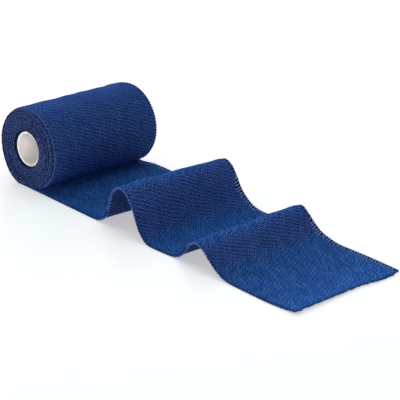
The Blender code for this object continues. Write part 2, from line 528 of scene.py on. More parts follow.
@dataclass(frozen=True)
class OverlockThread:
    """Spun polyester sewing thread of the overlock: matt, with a twist that catches light."""

    name: str
    light: str
    dark: str
    twist: float = 0.6 * MM
    tones: tuple[float, float] = (0.35, 0.65)

    def material(self) -> bpy.types.Material:
        """Make the thread, its two tones following the twist.

        Returns:
            The material.
        """
        material, shader = new_material(self.name)
        tree = material.node_tree
        place = add_node(tree, "TexCoord", {}).outputs["Object"]
        # The real twist is 0.2 mm long; it is drawn three times as long, to show.
        strands = add_node(
            tree, "TexNoise", {"Vector": place, "Scale": 1.0 / self.twist, "Detail": 2.0}
        )
        stops = tuple(zip(self.tones, (self.dark, self.light)))
        ramp = add_node(tree, "ValToRGB", {"Fac": strands}, stops=stops)
        bump = add_node(tree, "Bump", {"Height": strands, "Strength": 0.5, "Distance": 0.1 * MM})
        set_inputs(shader, {"Base Color": ramp, "Normal": bump})
        shader.inputs["Roughness"].default_value = 0.8
        shader.inputs["Specular IOR Level"].default_value = 0.25
        return material


@dataclass(frozen=True)
class MouldedPolypropylene:
    """White injection-moulded polypropylene: satin, barely warm, with faint flow marks."""

    white: str = "#F4F2F2"
    shade: str = "#EBE8E8"
    tones: tuple[float, float] = (0.3, 0.7)
    flow: float = 14.0 * MM
    grain: float = 0.5 * MM
    roughness: tuple[float, float] = (0.46, 0.58)

    def material(self) -> bpy.types.Material:
        """Make the plastic, clouded by its flow marks and very finely grained.

        Returns:
            The material.
        """
        material, shader = new_material("white_moulded_polypropylene")
        tree = material.node_tree
        place = add_node(tree, "TexCoord", {}).outputs["Object"]
        flow = add_node(
            tree, "TexNoise", {"Vector": place, "Scale": 1.0 / self.flow, "Detail": 3.0}
        )
        stops = tuple(zip(self.tones, (self.shade, self.white)))
        ramp = add_node(tree, "ValToRGB", {"Fac": flow}, stops=stops)
        smooth, dull = self.roughness
        rough = add_node(tree, "MapRange", {"Value": flow, "To Min": smooth, "To Max": dull})
        # The mould's grain is under 0.1 mm, so it is drawn at 0.5 mm.
        grain = add_node(tree, "TexNoise", {"Vector": place, "Scale": 1.0 / self.grain})
        bump = add_node(tree, "Bump", {"Height": grain, "Strength": 0.15, "Distance": 0.05 * MM})
        set_inputs(shader, {"Base Color": ramp, "Roughness": rough, "Normal": bump})
        shader.inputs["IOR"].default_value = 1.49
        shader.inputs["Subsurface Weight"].default_value = 0.08
        shader.inputs["Subsurface Radius"].default_value = (0.004, 0.003, 0.002)
        shader.inputs["Subsurface Scale"].default_value = 1.0
        return material


@dataclass(frozen=True)
class StudioAcrylic:
    """White acrylic sheet of a product table, lit from below so that shadows stay pale.

    The eye sees bright white with faint, blurred reflections.
    """

    white: str = "#F2F1F2"
    lit_from_below: str = "#FCF5F3"
    glow: float = 0.475
    roughness: tuple[float, float] = (0.26, 0.30)
    haze: float = 1.0 / 6.0

    def material(self) -> bpy.types.Material:
        """Make the table's surface, with a barely uneven gloss.

        Returns:
            The material.
        """
        material, shader = new_material("white_acrylic_table")
        tree = material.node_tree
        place = add_node(tree, "TexCoord", {}).outputs["Object"]
        haze = add_node(tree, "TexNoise", {"Vector": place, "Scale": 1.0 / self.haze})
        smooth, dull = self.roughness
        rough = add_node(tree, "MapRange", {"Value": haze, "To Min": smooth, "To Max": dull})
        set_inputs(shader, {"Roughness": rough})
        shader.inputs["Base Color"].default_value = linear(self.white)
        shader.inputs["Emission Color"].default_value = linear(self.lit_from_below)
        shader.inputs["Emission Strength"].default_value = self.glow
        shader.inputs["IOR"].default_value = 1.49
        return material


@dataclass
class Selvage:
    """One edge of the cloth as a line of stations, for what is sewn along it.

    The places are the stations' distances along it, or for the cut their shares of its length.
    Up and out are directions there.
    """

    places: np.ndarray
    middles: np.ndarray
    up: np.ndarray
    out: np.ndarray

    def at(self, place: np.ndarray) -> tuple[np.ndarray, np.ndarray, np.ndarray]:
        """Find the edge at given places along it, by straight lines between stations.

        Args:
            place: where along the edge, measured as its stations' places are.

        Returns:
            The edge's points, and its directions up and outwards there.
        """
        found = [
            np.stack([np.interp(place, self.places, line[:, axis]) for axis in range(3)], axis=-1)
            for line in (self.middles, self.up, self.out)
        ]
        return found[0], found[1], found[2]


@dataclass
class WoundCloth:
    """The wound roll: a spiral of cloth, pressed flat where it rests.

    Angles are measured from the foot up the -X side, over the top and down the +X side. Painted
    light makes the cloth's side paler in a highlight band near the top, at the angle given for it,
    and between the two angles before the full turn that foot_reach gives, as a painted glow where
    light comes back from the cloth beside it. Painted shade darkens its ends over the two
    distances from the bore that crevice gives, in the crevice by the core. The spacing and the
    seed of the yarn ends are given for the near and the far end, as are the seeds of the relief.
    """

    foot: np.ndarray
    outer: float = 30.8 * MM
    bore: float = 13.5 * MM
    axis_height: float = 29.4 * MM
    turn_thickness: float = 1.0 * MM
    half_width: float = 50.0 * MM
    near_inset: float = 2.4 * MM
    far_round: float = 3.4 * MM
    edge_round: float = 0.45 * MM
    step_height: float = 1.14 * MM
    press_height: float = 9.0 * MM
    bulge: float = 1.5 * MM
    bulge_angle: float = 0.55
    bulge_spread: float = 0.55
    tension: float = 0.65
    stray: float = 0.22 * MM
    groove: float = 0.45 * MM
    fuzz: float = 0.10 * MM
    sag: float = 0.12 * MM
    relief_seeds: tuple[int, int] = (3, 8)
    # Painted shade in the crevice by the core: the ends darken from the first to the second
    # distance from the bore.
    crevice: tuple[float, float] = (0.3 * MM, 1.1 * MM)
    # Painted light on the roll's side: light scales it, the next three values give a painted
    # highlight band near the top, and the last two give a painted glow of bounce light by the
    # foot.
    light: float = 0.95
    painted_highlight_gain: float = 0.17
    painted_highlight_angle: float = 2.95
    painted_highlight_spread: float = 0.45
    foot_glow: float = 0.9
    foot_reach: tuple[float, float] = (0.9, 0.4)
    loop_height: float = 0.32 * MM
    yarn_radius: float = 0.17 * MM
    yarn_spacing: tuple = ((1.6 * MM, 40), (2.3 * MM, 41))
    columns: int = 241
    near_rows: int = 112
    side_rows: int = 44
    far_rows: int = 76

    def outside(self, angle: np.ndarray, across: np.ndarray) -> np.ndarray:
        """Radius of the roll: it falls by one thickness a turn, with a bulge low on the left.

        Args:
            angle: angles from the foot.
            across: places along the axis.

        Returns:
            The outer radius at each place.
        """
        spiral = self.outer - self.turn_thickness * angle / FULL_TURN
        nearness = (self.half_width - across) / (2.0 * self.half_width)
        swell = np.exp(-(((angle - self.bulge_angle) / self.bulge_spread) ** 2))
        return spiral + self.bulge * swell * nearness

    def turns(self, angle: np.ndarray, radius: np.ndarray, across: np.ndarray) -> np.ndarray:
        """Turns of cloth between a place and the outside: their depth over the thickness."""
        return (self.outside(angle, across) - radius) / self.turn_thickness

    def stagger(self, wound: np.ndarray, seed: int) -> np.ndarray:
        """How far a turn's edge stands out or in, uneven along the length of the cloth.

        Args:
            wound: turns wound, counted along the cloth from its outer end.
            seed: number that fixes the random choices.

        Returns:
            The distance for each place, in metres.
        """
        return self.stray * ripple(wound[..., None], 1.7, seed)

    def relief(self, angle: np.ndarray, depth: np.ndarray, seed: int) -> np.ndarray:
        """How far an end face is sunk: between turns by 0.45 |2s - 1|^3 mm, and by the stagger.

        Args:
            angle: angles from the foot.
            depth: turns under the outside.
            seed: number that fixes the random choices.

        Returns:
            The depth of the face under its plane, in metres.
        """
        share = depth - np.floor(depth)
        groove = self.groove * np.abs(2.0 * share - 1.0) ** 3
        fuzz_place = np.stack([depth, angle * 9.0], axis=-1)
        fuzz = self.fuzz * ripple(fuzz_place, 1.3, seed + 1)
        return groove + fuzz + self.stagger(np.floor(depth) + angle / FULL_TURN, seed)

    def profile(self) -> tuple[np.ndarray, np.ndarray, np.ndarray, np.ndarray]:
        """Section of the roll, out along the near end, along the side and in along the far one.

        Returns:
            For each row: the share of the way from the bore to the outside, a distance to take
            off that radius, the place along the axis, and how much of the relief applies.
        """
        half = self.half_width
        thick = self.turn_thickness
        small = self.edge_round
        large = self.far_round
        ledge = -half + self.near_inset
        corner = np.radians(np.linspace(0.0, 90.0, 5))
        shoulder = np.radians(np.linspace(0.0, 90.0, 12))
        falling = small * (1.0 - np.sin(corner))
        side = np.linspace(ledge + small * 2.0, half - large * 1.1, self.side_rows)
        rows = [
            # near end face, from the bore to the second turn
            (np.linspace(0.0, 1.0, self.near_rows), thick + small, -half, 1.0),
            # its rounded corner
            (1.0, thick + falling, -half + small * (1.0 - np.cos(corner)), 0.6),
            # the second turn's outside, which shows as a ledge
            (1.0, thick, -half + np.linspace(small * 1.3, self.near_inset, 5), 0.0),
            # the outermost turn's edge, further in
            (1.0, np.linspace(thick * 0.9, small, 4), ledge + small * 0.05, 0.0),
            (1.0, falling, ledge + small * (1.05 - np.cos(corner)), 0.0),
            # the side
            (1.0, 0.0, side, 0.0),
            # the far shoulder, where each turn lies a little further in
            (
                1.0,
                large * (1.0 - np.cos(shoulder)),
                half - large + large * np.sin(shoulder),
                np.linspace(0.0, 0.8, 12),
            ),
            # far end face
            (np.linspace(1.0, 0.0, self.far_rows), large, half, 1.0),
            # the bore
            (0.0, 0.0, np.linspace(half - 1.0 * MM, -half + 1.0 * MM, 8), 0.0),
        ]
        spread = [np.broadcast_arrays(*(np.atleast_1d(item) for item in row)) for row in rows]
        share, taken, along, applied = (np.concatenate(items) for items in zip(*spread))
        return share, taken, along, applied

    def pressed(self, sideways: np.ndarray, height: np.ndarray, angle: np.ndarray) -> np.ndarray:
        """Press the foot flat: heights under 9 mm shrink in step, so that none is too low.

        With b the height of the round outside at that x and f the floor there, a height z
        becomes p - (p - z)(p - f) / (p - b), p being 9 mm.

        Args:
            sideways: x from the axis.
            height: heights over the table before pressing.
            angle: angles from the foot, which tell the -X side from the +X side.

        Returns:
            The heights after pressing.
        """
        under_tail = angle > math.pi
        radius = np.where(under_tail, self.outer - self.turn_thickness, self.outer)
        floor = np.where(under_tail, self.step_height, 0.0)
        reach = np.clip(radius**2 - sideways**2, 0.0, None)
        lowest = np.minimum(self.axis_height - np.sqrt(reach), floor)
        limit = self.press_height
        squeezed = limit - (limit - height) * (limit - floor) / (limit - lowest)
        return np.where(height < limit, np.maximum(squeezed, floor), height)

    def place(self, angle: np.ndarray, radius: np.ndarray, across: np.ndarray) -> np.ndarray:
        """Points of the roll: x = -r sin a and z = h - r cos a about the axis, then pressed.

        Args:
            angle: angles from the foot.
            radius: distances from the axis.
            across: places along the axis.

        Returns:
            Points in the row's frame.
        """
        sideways = -radius * np.sin(angle)
        height = self.axis_height - radius * np.cos(angle)
        height = self.pressed(sideways, height, angle)
        return np.stack([sideways, across, height], axis=-1) + self.foot

    def build(self, weave: bpy.types.Material, edges: bpy.types.Material) -> bpy.types.Object:
        """Build the wound cloth as one closed surface over the angle and the section.

        Args:
            weave: material of the cloth's face.
            edges: material of the stacked selvages.

        Returns:
            The wound cloth.
        """
        share, taken, along, applied = (row[:, None] for row in self.profile())
        rows = len(along)
        angle = np.tile(np.linspace(0.0, FULL_TURN, self.columns), (rows, 1))
        across = np.broadcast_to(along, angle.shape)
        radius = self.bore + share * (self.outside(angle, across) - taken - self.bore)
        depth = self.turns(angle, radius, across)
        near_sunk, far_sunk = (self.relief(angle, depth, seed) for seed in self.relief_seeds)
        sunk = np.where(along < 0.0, near_sunk, far_sunk) * applied * (share > 0.0)
        across = across - np.sign(along) * sunk
        rough_place = np.stack([angle * self.outer, across], axis=-1)
        sag = self.sag * ripple(rough_place, 14.0 * MM, 21)
        radius = radius + sag * (taken < self.edge_round)
        points = self.place(angle, radius, across).reshape(-1, 3)
        quads = grid_quads(rows, self.columns, True, True)
        on_edges = (applied[:, 0] > 0.0) | (share[:, 0] == 0.0)
        skin_of_row = np.where(on_edges, Skin.EDGES.value, Skin.WEAVE.value)
        cloth = np.stack([-angle * self.outer, across + self.half_width], axis=-1)
        # Painted light on the side: a glow of bounce light by the foot, and a highlight band near
        # the top.
        near_foot = smooth_step(
            angle, FULL_TURN - self.foot_reach[0], FULL_TURN - self.foot_reach[1]
        )
        painted_highlight_band = np.exp(-(((angle - self.painted_highlight_angle) / self.painted_highlight_spread) ** 2))
        side_light = self.light + self.painted_highlight_gain * painted_highlight_band + self.foot_glow * near_foot
        # Painted shade: the ends and the bore darken towards the core.
        lit = smooth_step(radius, self.bore + self.crevice[0], self.bore + self.crevice[1])
        lit = lit * np.where(applied == 0.0, side_light, 1.0)
        piece = make_piece(
            "wound_cloth_spiral",
            points,
            quads,
            [weave, edges],
            skins=np.repeat(skin_of_row, self.columns),
            cloth_map=cloth.reshape(-1, 2),
            values={
                LEAN: np.zeros(len(points)),
                TENSION: np.full(len(points), self.tension),
                TURN: depth,
                LIT: lit,
            },
        )
        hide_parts("wound_cloth")
        return piece

    def outer_selvage(self, side: Side) -> Selvage:
        """Edge of the outermost turn, from the foot up the -X side and round to the foot again.

        Args:
            side: the near or the far selvage.

        Returns:
            The edge.
        """
        angle = np.linspace(0.15, FULL_TURN - 0.30, 361)
        inset, lowered = (self.near_inset, 0.0) if side is Side.NEAR else (0.9 * MM, 0.9 * MM)
        across = np.full_like(angle, side.value * (self.half_width - inset))
        radius = self.outside(angle, across) - self.turn_thickness / 2.0 - lowered
        middles = self.place(angle, radius, across)
        up = np.stack([-np.sin(angle), 0.0 * angle, -np.cos(angle)], axis=-1)
        out = np.broadcast_to([0.0, side.value, 0.0], middles.shape)
        return Selvage(distances(middles), middles, up, out)

    def yarn_ends(self, side: Side, spacing: float, seed: int) -> np.ndarray:
        """Paths of the overlock loops on the edges of the wound turns of one end face.

        A loop is an arc over a turn's edge: from one face of the cloth to the other, it
        stands out by 0.32 sin(pi s) - 0.12 mm. The first turns at the far end, which lie round
        its shoulder, have none.

        Args:
            side: the near or the far end.
            spacing: distance between loops along the cloth.
            seed: number that fixes the random choices.

        Returns:
            Loops x 5 x 3 points.
        """
        source = np.random.default_rng(seed)
        thick = self.turn_thickness
        near = side is Side.NEAR
        first = 1.0 if near else 3.5
        relief_seed = self.relief_seeds[0 if near else 1]
        last = (self.outer - self.bore) / thick - 1.3
        grid = np.linspace(first, last, 20000)
        radii = self.outer - grid * thick
        travelled = np.concatenate([[0.0], np.cumsum(radii[:-1] * np.diff(grid) * FULL_TURN)])
        count = int(travelled[-1] / spacing)
        places = (np.arange(count) + source.uniform(0.1, 0.9, count)) * spacing
        wound = np.interp(places, travelled, grid)
        angle = (wound % 1.0) * FULL_TURN
        share = np.linspace(0.0, 1.0, 5)[None, :]
        slant = source.normal(0.0, 0.035, count)[:, None]
        turn_number = np.floor(wound)[:, None]
        depth = turn_number + 0.12 + 0.76 * share
        bend = angle[:, None] + slant * (share - 0.5)
        face = np.full_like(depth, side.value * self.half_width)
        radius = self.outside(bend, face) - depth * thick
        sunk = self.stagger(turn_number + angle[:, None] / FULL_TURN, relief_seed)
        proud = self.loop_height * np.sin(math.pi * share) - 0.12 * MM
        across = face - side.value * sunk + side.value * proud
        if not near:
            across -= np.clip(self.far_round - depth * thick, 0.0, None) * 0.9
        return self.place(bend, radius, across)


@dataclass
class CoreTube:
    """The moulded core: a plain tube with rounded rims, low in the bore of the roll."""

    foot: np.ndarray
    radius: float = 12.8 * MM
    wall: float = 1.5 * MM
    half_length: float = 49.0 * MM
    axis_height: float = 29.1 * MM
    rim: float = 0.4 * MM
    taper: float = 0.12 * MM
    columns: int = 128

    def build(self, plastic: bpy.types.Material) -> bpy.types.Object:
        """Build the tube: the section x = -r sin a, z = h - r cos a, turned about the axis.

        Args:
            plastic: its material.

        Returns:
            The core tube.
        """
        corner = np.radians(np.linspace(0.0, 90.0, 6))
        falling = self.rim * (1.0 - np.sin(corner))
        rising = self.rim * (1.0 - np.cos(corner))
        half = self.half_length
        inner = self.radius - self.wall
        run = np.linspace(-half * 0.97, half * 0.97, 9)
        sections = [
            (self.radius - falling, rising - half),
            (np.full_like(run, self.radius), run),
            (self.radius - rising, half - falling),
            (inner + falling, half - rising),
            (np.full_like(run, inner), -run),
            (inner + rising, falling - half),
        ]
        radius, along = (np.concatenate(items)[:, None] for items in zip(*sections))
        radius = radius - self.taper * (along / half) * (radius < self.radius - self.rim)
        angle = np.linspace(0.0, FULL_TURN, self.columns, endpoint=False)[None, :]
        turned = np.broadcast_arrays(
            -radius * np.sin(angle), along, self.axis_height - radius * np.cos(angle)
        )
        points = np.stack(turned, axis=-1)
        points = (points + self.foot).reshape(-1, 3)
        quads = grid_quads(len(along), self.columns, True, True)
        piece = make_piece("core_tube_moulded", points, quads, [plastic])
        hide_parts("core_tube")
        return piece


@dataclass
class LooseEnd:
    """The loose end of the cloth: a sheet through a table of fold lines.

    Painted light makes the cloth paler in bands along it, by the roll, on the two crests and
    towards the cut (place along it, spread and share are in paler), and painted shade makes its
    underside darker, about half as light. Each row of the fold table is a straight line across
    it, and gives, in mm and for the near and the far selvage, where the underside is: x from the
    roll's axis, how far the selvage bows out, and its height over the table. These are the
    solid's own rows.
    """

    foot: np.ndarray
    width: float = 100.0 * MM
    solid_thickness: float = 1.2 * MM
    thickness: float = 1.06 * MM
    crown: float = 0.05
    inset: float = 0.5 * MM
    # Painted light: bells of paler cloth by the roll, on the two crests and towards the cut, given
    # as place, spread and gain.
    paler: tuple = (
        (0.008, 0.013, 1.1),
        (0.128, 0.022, 0.16),
        (0.213, 0.020, 0.20),
        (0.262, 0.030, 0.06),
        (0.310, 0.028, 0.46),
    )
    # Painted shade on the underside, inside the arches.
    under_shade: float = 0.56
    steps: int = 10
    columns: int = 72
    round_steps: int = 4
    length: float = 0.0
    lifts: tuple = ((118.0, 12.0, 0.50, 0.90, 1.7), (212.0, 10.0, 0.45, 0.85, 2.2))
    folds: tuple = (
        (0.15, 0.0, 0.0, 0.15, 0.0, 0.0),
        (13.0, 0.0, 0.0, 13.0, 0.0, 0.0),
        (27.0, 0.0, 0.0, 27.0, 0.3, 1.4),
        (50.0, 0.0, 0.0, 50.0, 0.3, 1.2),
        (72.0, 0.0, 0.0, 78.0, 0.0, 0.0),
        (80.6, 0.0, 1.7, 87.2, 0.0, 1.8),
        (86.2, 0.0, 6.0, 92.0, 0.0, 6.0),
        (89.5, 0.0, 14.5, 94.6, -0.2, 13.2),
        (91.6, 0.0, 22.6, 96.0, -0.3, 19.8),
        (95.0, 0.0, 28.5, 98.2, -0.3, 24.6),
        (99.9, 0.0, 31.2, 102.2, -0.3, 26.9),
        (106.2, 0.0, 28.9, 108.2, -0.3, 24.4),
        (111.4, 0.0, 22.8, 112.8, -0.2, 19.2),
        (117.0, 0.2, 12.4, 118.4, 0.0, 11.0),
        (121.8, 0.6, 5.6, 124.0, 0.2, 5.8),
        (127.6, 1.0, 1.3, 131.0, 0.2, 1.8),
        (136.0, 1.4, 0.0, 142.0, 0.2, 0.0),
        (149.0, 0.8, 0.0, 154.0, 0.0, 0.0),
        (158.6, 0.2, 2.2, 163.4, 0.0, 2.2),
        (165.0, 0.0, 8.6, 168.8, 0.0, 8.2),
        (168.9, 0.0, 14.2, 171.8, 0.0, 13.2),
        (174.2, 0.0, 17.0, 176.2, 0.0, 15.7),
        (180.4, 0.0, 14.7, 181.6, 0.0, 13.1),
        (187.0, 0.0, 9.4, 188.2, 0.0, 8.2),
        (193.6, 0.0, 4.4, 195.4, 0.0, 3.8),
        (200.4, 0.2, 1.4, 203.6, 0.0, 1.4),
        (212.0, 0.3, 0.0, 213.6, 0.0, 0.0),
        (242.0, 0.2, 0.0, 242.0, 0.3, 0.0),
        (262.6, -1.8, 1.3, 263.4, -0.5, 0.0),
    )

    @staticmethod
    def curve(
        places: np.ndarray, values: np.ndarray, resting: np.ndarray, steps: int
    ) -> np.ndarray:
        """Cubic curve through values, its slopes those of parabolas, and level where it rests.

        Between two rows it is the cubic that has their values and slopes at its ends.

        Args:
            places: distance of each row along the cloth.
            values: the rows' values.
            resting: whether the cloth rests at a row.
            steps: points from one row to the next.

        Returns:
            The values at all points.
        """
        gaps = np.diff(places)
        rises = np.diff(values) / gaps
        inner = (rises[:-1] * gaps[1:] + rises[1:] * gaps[:-1]) / (gaps[:-1] + gaps[1:])
        slopes = np.concatenate([rises[:1], inner, rises[-1:]])
        slopes[resting] = 0.0
        share = np.linspace(0.0, 1.0, steps, endpoint=False)[None, :]
        square, cube = share**2, share**3
        spans = (
            (2 * cube - 3 * square + 1) * values[:-1, None]
            + (cube - 2 * square + share) * (gaps * slopes[:-1])[:, None]
            + (3 * square - 2 * cube) * values[1:, None]
            + (cube - square) * (gaps * slopes[1:])[:, None]
        )
        return np.append(spans.ravel(), values[-1])

    def lines(self) -> np.ndarray:
        """Carry the fold table's straight lines on along the cloth, by a curve at each selvage.

        Returns:
            The ends of the lines across the underside: lines x (near or far) x (x, y, z).
        """
        rows = np.array(self.folds).reshape(-1, 2, 3) * MM
        ends = rows.copy()
        ends[:, :, 1] = np.array([-1.0, 1.0]) * (self.width / 2.0 + rows[:, :, 1])
        places = distances(ends)
        never = np.zeros(len(rows), dtype=bool)
        curves = [
            self.curve(places, ends[:, side, axis], resting, self.steps)
            for side in range(2)
            for axis, resting in enumerate((never, never, ends[:, side, 2] == 0.0))
        ]
        return np.stack(curves, axis=1).reshape(-1, 2, 3)

    def underside(self, share: np.ndarray) -> np.ndarray:
        """Points of the underside: near + (far - near) v, crowned by 4 v (1 - v) of its height.

        Towards the far selvage each crest stands a little higher, by a bell curve along the
        cloth (its place, spread, range across and rise in mm are in lifts), and the whole cloth
        is gently uneven.

        Args:
            share: places across the cloth, from 0 at the near selvage to 1 at the far one.

        Returns:
            Stations along the cloth x places across x 3 points.
        """
        lines = self.lines()
        near, far = lines[:, 0, None, :], lines[:, 1, None, :]
        grid = near + (far - near) * share[None, :, None]
        height = grid[:, :, 2] * (1.0 + self.crown * 4.0 * share * (1.0 - share))
        places = distances(lines)
        for place, spread, low, high, rise in self.lifts:
            bell = np.exp(-(((places / MM - place) / spread) ** 2))
            hump = smooth_step(share, low, high) * (1.0 - 0.45 * smooth_step(share, 0.93, 1.0))
            height = height + rise * MM * bell[:, None] * hump[None, :]
        uneven = 0.22 * MM * ripple(grid[:, :, :2], 26.0 * MM, 5)
        grid[:, :, 2] = height + uneven * smooth_step(height, 1.0 * MM, 6.0 * MM)
        return grid

    def surface(self, share: np.ndarray) -> tuple[np.ndarray, np.ndarray, np.ndarray, np.ndarray]:
        """The cloth's middle surface with its directions.

        Args:
            share: places across the cloth, from 0 to 1.

        Returns:
            The middle points, the directions up, the directions along, and the distance of each
            station from the roll.
        """
        under = self.underside(share)
        along = np.gradient(under, axis=0)
        across = np.gradient(under, share, axis=1)
        up = np.cross(along, across)
        up /= np.linalg.norm(up, axis=2, keepdims=True)
        along /= np.linalg.norm(along, axis=2, keepdims=True)
        middle = under + up * self.solid_thickness / 2.0 + self.foot
        return middle, up, along, distances(under)

    def build(self, weave: bpy.types.Material) -> bpy.types.Object:
        """Build the sheet: its section, round at both selvages, carried along the cloth.

        A section's points are m + a N + b B: m on the middle surface, N up, B outwards, with
        a = h sin t and b = -h cos t round a selvage, h being half the thickness. The steeper the
        cloth, the more one lean of its floats shows, and the wider its gaps open.

        Args:
            weave: its material.

        Returns:
            The loose end.
        """
        inner = self.across()
        half = self.thickness / 2.0
        turn = np.radians((np.arange(self.round_steps) + 0.5) / self.round_steps * 90.0)
        share = np.pad(inner, self.round_steps, mode="edge")
        lift = np.concatenate([np.sin(turn), np.ones(self.columns), np.sin(turn[::-1])])
        aside = np.concatenate([-np.cos(turn), np.zeros(self.columns), np.cos(turn[::-1])])
        middle, up, _, places = self.surface(inner)
        ends = ((0, 0), (self.round_steps, self.round_steps), (0, 0))
        middle, up = np.pad(middle, ends, mode="edge"), np.pad(up, ends, mode="edge")
        outwards = np.array([0.0, 1.0, 0.0]) * (aside * half * 0.9)[None, :, None]
        top = middle + up * (lift * half)[None, :, None] + outwards
        under = middle - up * (lift * half)[None, :, None] + outwards
        by_the_cut = smooth_step(places, places[-1] - 9.0 * MM, places[-1])
        strayed = by_the_cut[:, None] * self.cut_line(share)[None, :]
        top[:, :, 0] += strayed
        under[:, :, 0] += strayed
        ring = np.concatenate([top, under[:, ::-1]], axis=1)
        stations, columns, _ = ring.shape
        cap = np.arange(columns // 2 - 1)
        start = np.stack([cap, cap + 1, columns - 2 - cap, columns - 1 - cap], axis=1)
        end = start[:, ::-1] + (stations - 1) * columns
        quads = np.concatenate([grid_quads(stations, columns, False, True), start, end])
        across = share * self.width + aside * half
        around = np.concatenate([across, across[::-1]])
        cloth = np.stack(np.broadcast_arrays(places[:, None], around[None, :]), axis=-1)
        slope = np.abs(np.gradient(middle[:, :, 2], places, axis=0))
        lean = smooth_step(slope, 0.25, 0.7)
        lean = np.concatenate([lean, lean[:, ::-1]], axis=1)
        # Painted light in bands along the cloth, and painted shade on its underside.
        lit = np.ones((stations, len(share)))
        for place, spread, gain in self.paler:
            lit += gain * np.exp(-(((places - place) / spread) ** 2))[:, None]
        lit_under = np.full_like(lit, self.under_shade)
        piece = make_piece(
            "loose_end_sheet",
            ring.reshape(-1, 3),
            quads,
            [weave],
            cloth_map=cloth.reshape(-1, 2),
            values={LEAN: lean, TENSION: lean, LIT: np.concatenate([lit, lit_under], axis=1)},
        )
        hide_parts("loose_end")
        self.length = float(places[-1])
        return piece

    def across(self) -> np.ndarray:
        """Even places across the cloth, from selvage to selvage inside the overlock."""
        edge = self.inset / self.width
        return np.linspace(edge, 1.0 - edge, self.columns)

    def cut_line(self, share: np.ndarray) -> np.ndarray:
        """How far the scissors' cut strays along the cloth: a long bend and small ripples.

        Args:
            share: places across the cloth, from 0 to 1.

        Returns:
            The distance for each place, outwards being positive.
        """
        bend = -1.3 + 2.9 * smooth_step(share, 0.60, 0.84) - 1.8 * smooth_step(share, 0.88, 1.0)
        small = 0.20 * ripple(share[:, None], 0.08, 31) + 0.12 * ripple(share[:, None], 0.02, 32)
        return (bend + small) * MM

    def selvage(self, side: Side) -> Selvage:
        """One long edge of the sheet.

        Args:
            side: the near or the far selvage.

        Returns:
            The edge.
        """
        middle, up, along, _ = self.surface(self.across())
        column = 0 if side is Side.NEAR else -1
        middle, up, along = middle[:, column], up[:, column], along[:, column]
        out = np.cross(up, along) * side.value
        out *= np.sign((out[:, 1] * side.value).mean())
        return Selvage(distances(middle), middle, up, out)

    def cut_edge(self) -> Selvage:
        """The edge that the scissors cut.

        Returns:
            The edge, its places being shares of its length from 0 to 1.
        """
        middle, up, along, _ = self.surface(self.across())
        edge = middle[-1]
        edge[:, 0] += self.cut_line(self.across())
        return Selvage(np.linspace(0.0, 1.0, len(edge)), edge, up[-1], along[-1])


